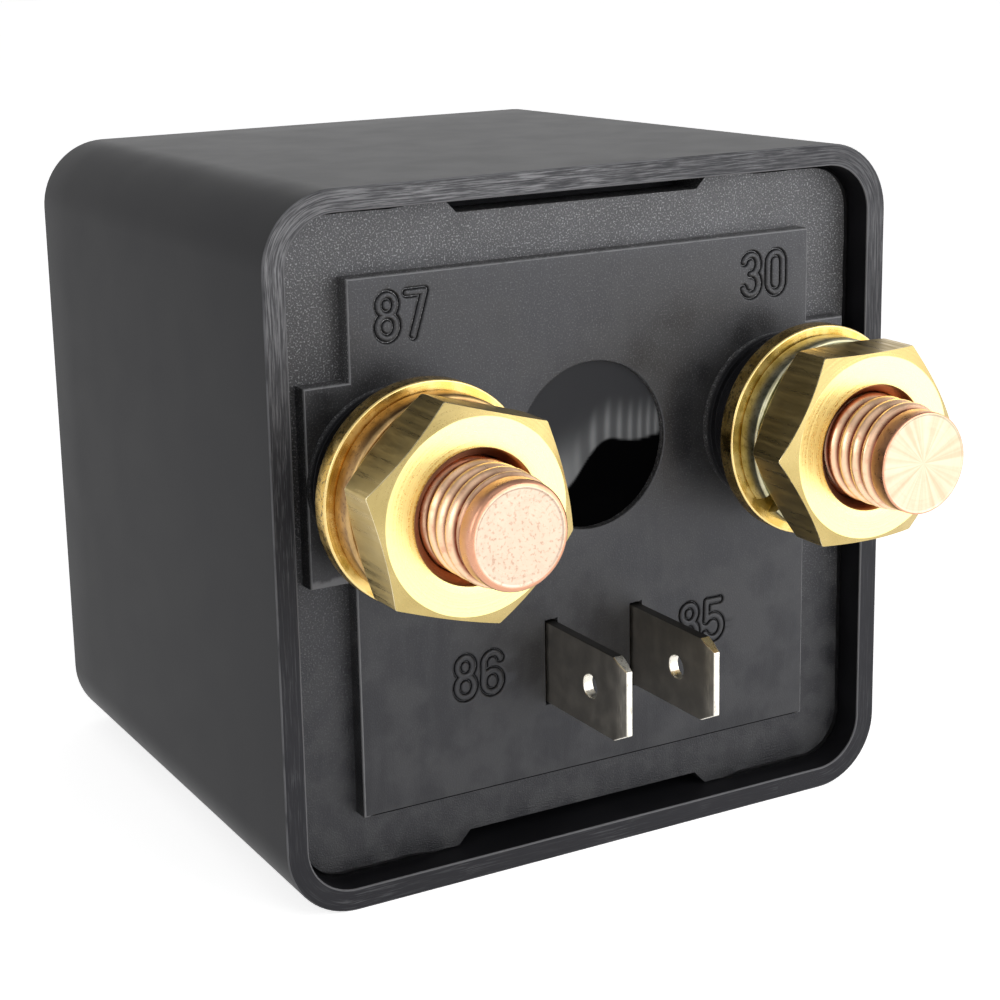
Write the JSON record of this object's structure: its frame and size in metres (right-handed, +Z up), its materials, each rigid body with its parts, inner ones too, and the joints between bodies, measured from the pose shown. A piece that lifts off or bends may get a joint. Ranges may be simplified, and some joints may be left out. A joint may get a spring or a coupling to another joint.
{
  "type": "battery isolator relay",
  "caption": "Black cube-shaped solenoid relay with a recessed terminal face, threaded copper studs with brass nuts and washers, and flat blade terminals for the coil.",
  "frame": {"origin": "middle of the footprint, on the plane that the underside of the case stands on", "axes": "-Y out of the terminal face, +X to the right when the terminal face is looked at, +Z up"},
  "size_m": [0.0524, 0.0634, 0.0521],
  "materials": {
    "case_plastic": "satin, fine grain",
    "header_plastic": "spark-eroded grain",
    "sealant": "dull black sealant",
    "compound": "glossy cast compound",
    "stud_copper": "turned, tarnished copper",
    "silver_contact": "satin silver",
    "nut_brass": "turned brass",
    "washer_brass": "punched brass",
    "lock_bronze": "bronze, tarnished",
    "lock_zinc": "passivated zinc",
    "blade_metal": "tinned brass, brushed",
    "lead_wire": "enamelled copper",
    "bridge_copper": "bright copper",
    "insulator": "natural nylon",
    "spring_steel": "spring steel",
    "plain_steel": "zinc-plated steel",
    "core_iron": "soft iron",
    "sleeve_brass": "drawn brass",
    "bobbin_nylon": "moulded nylon",
    "winding_wire": "enamelled copper winding",
    "coil_tape": "polyester tape"
  },
  "bodies": {
    "root": {"case_shell": "case_plastic", "header": "header_plastic", "header_seal": "sealant", "casting_plug": "compound", "stud_87": "stud_copper", "stud_30": "stud_copper", "contact_tip_87": "silver_contact", "contact_tip_30": "silver_contact", "blade_86": "blade_metal", "blade_85": "blade_metal", "coil_lead_86": "lead_wire", "coil_lead_85": "lead_wire", "fixed_core": "core_iron", "guide_sleeve": "sleeve_brass", "bobbin": "bobbin_nylon", "coil_winding": "winding_wire", "coil_tape": "coil_tape", "pole_plate": "plain_steel", "yoke": "plain_steel", "frame_screws": "plain_steel", "return_spring": "spring_steel"},
    "plunger_unit": {"plunger": "core_iron", "push_rod": "plain_steel", "spring_seat": "plain_steel", "retaining_clip": "spring_steel", "insulating_washer": "insulator", "contact_spring": "spring_steel"},
    "bridge_unit": {"contact_bridge": "bridge_copper", "bridge_tips": "silver_contact", "insulating_bush": "insulator"},
    "washers_87": {"flat_washer_87": "washer_brass", "spring_washer_87": "lock_bronze"},
    "washers_30": {"flat_washer_30": "washer_brass", "spring_washer_30": "lock_zinc"},
    "nut_87": {"nut_87": "nut_brass"},
    "nut_30": {"nut_30": "nut_brass"}
  },
  "joints": [
    {"name": "plunger_slide", "type": "slide", "parent": "root", "child": "plunger_unit", "axis": [0, -1, 0], "range_m": [0, 0.0032], "stiffness_N_per_m": 1200, "springref_m": -0.004, "deforming": ["return_spring"]},
    {"name": "bridge_slide", "type": "slide", "parent": "plunger_unit", "child": "bridge_unit", "axis": [0, -1, 0], "range_m": [-0.001, 0], "deforming": ["contact_spring"]},
    {"name": "washers_87_slide", "type": "slide", "parent": "root", "child": "washers_87", "axis": [0, -1, 0], "range_m": [0, 0.005]},
    {"name": "nut_87_turn", "type": "hinge", "parent": "washers_87", "child": "nut_87", "pos_m": [-0.0165, -0.02395, 0.03135], "axis": [0, -1, 0], "range_deg": [0, 1440]},
    {"name": "washers_30_slide", "type": "slide", "parent": "root", "child": "washers_30", "axis": [0, -1, 0], "range_m": [0, 0.005]},
    {"name": "nut_30_turn", "type": "hinge", "parent": "washers_30", "child": "nut_30", "pos_m": [0.0165, -0.02395, 0.03135], "axis": [0, -1, 0], "range_deg": [0, 1440]}
  ],
  "couplings": [
    {"joint": "bridge_slide", "follows": "plunger_slide", "ratio": -0.3125},
    {"joint": "nut_87_turn", "follows": "washers_87_slide", "rad_per_m": 5026.5},
    {"joint": "nut_30_turn", "follows": "washers_30_slide", "rad_per_m": 5026.5}
  ]
}
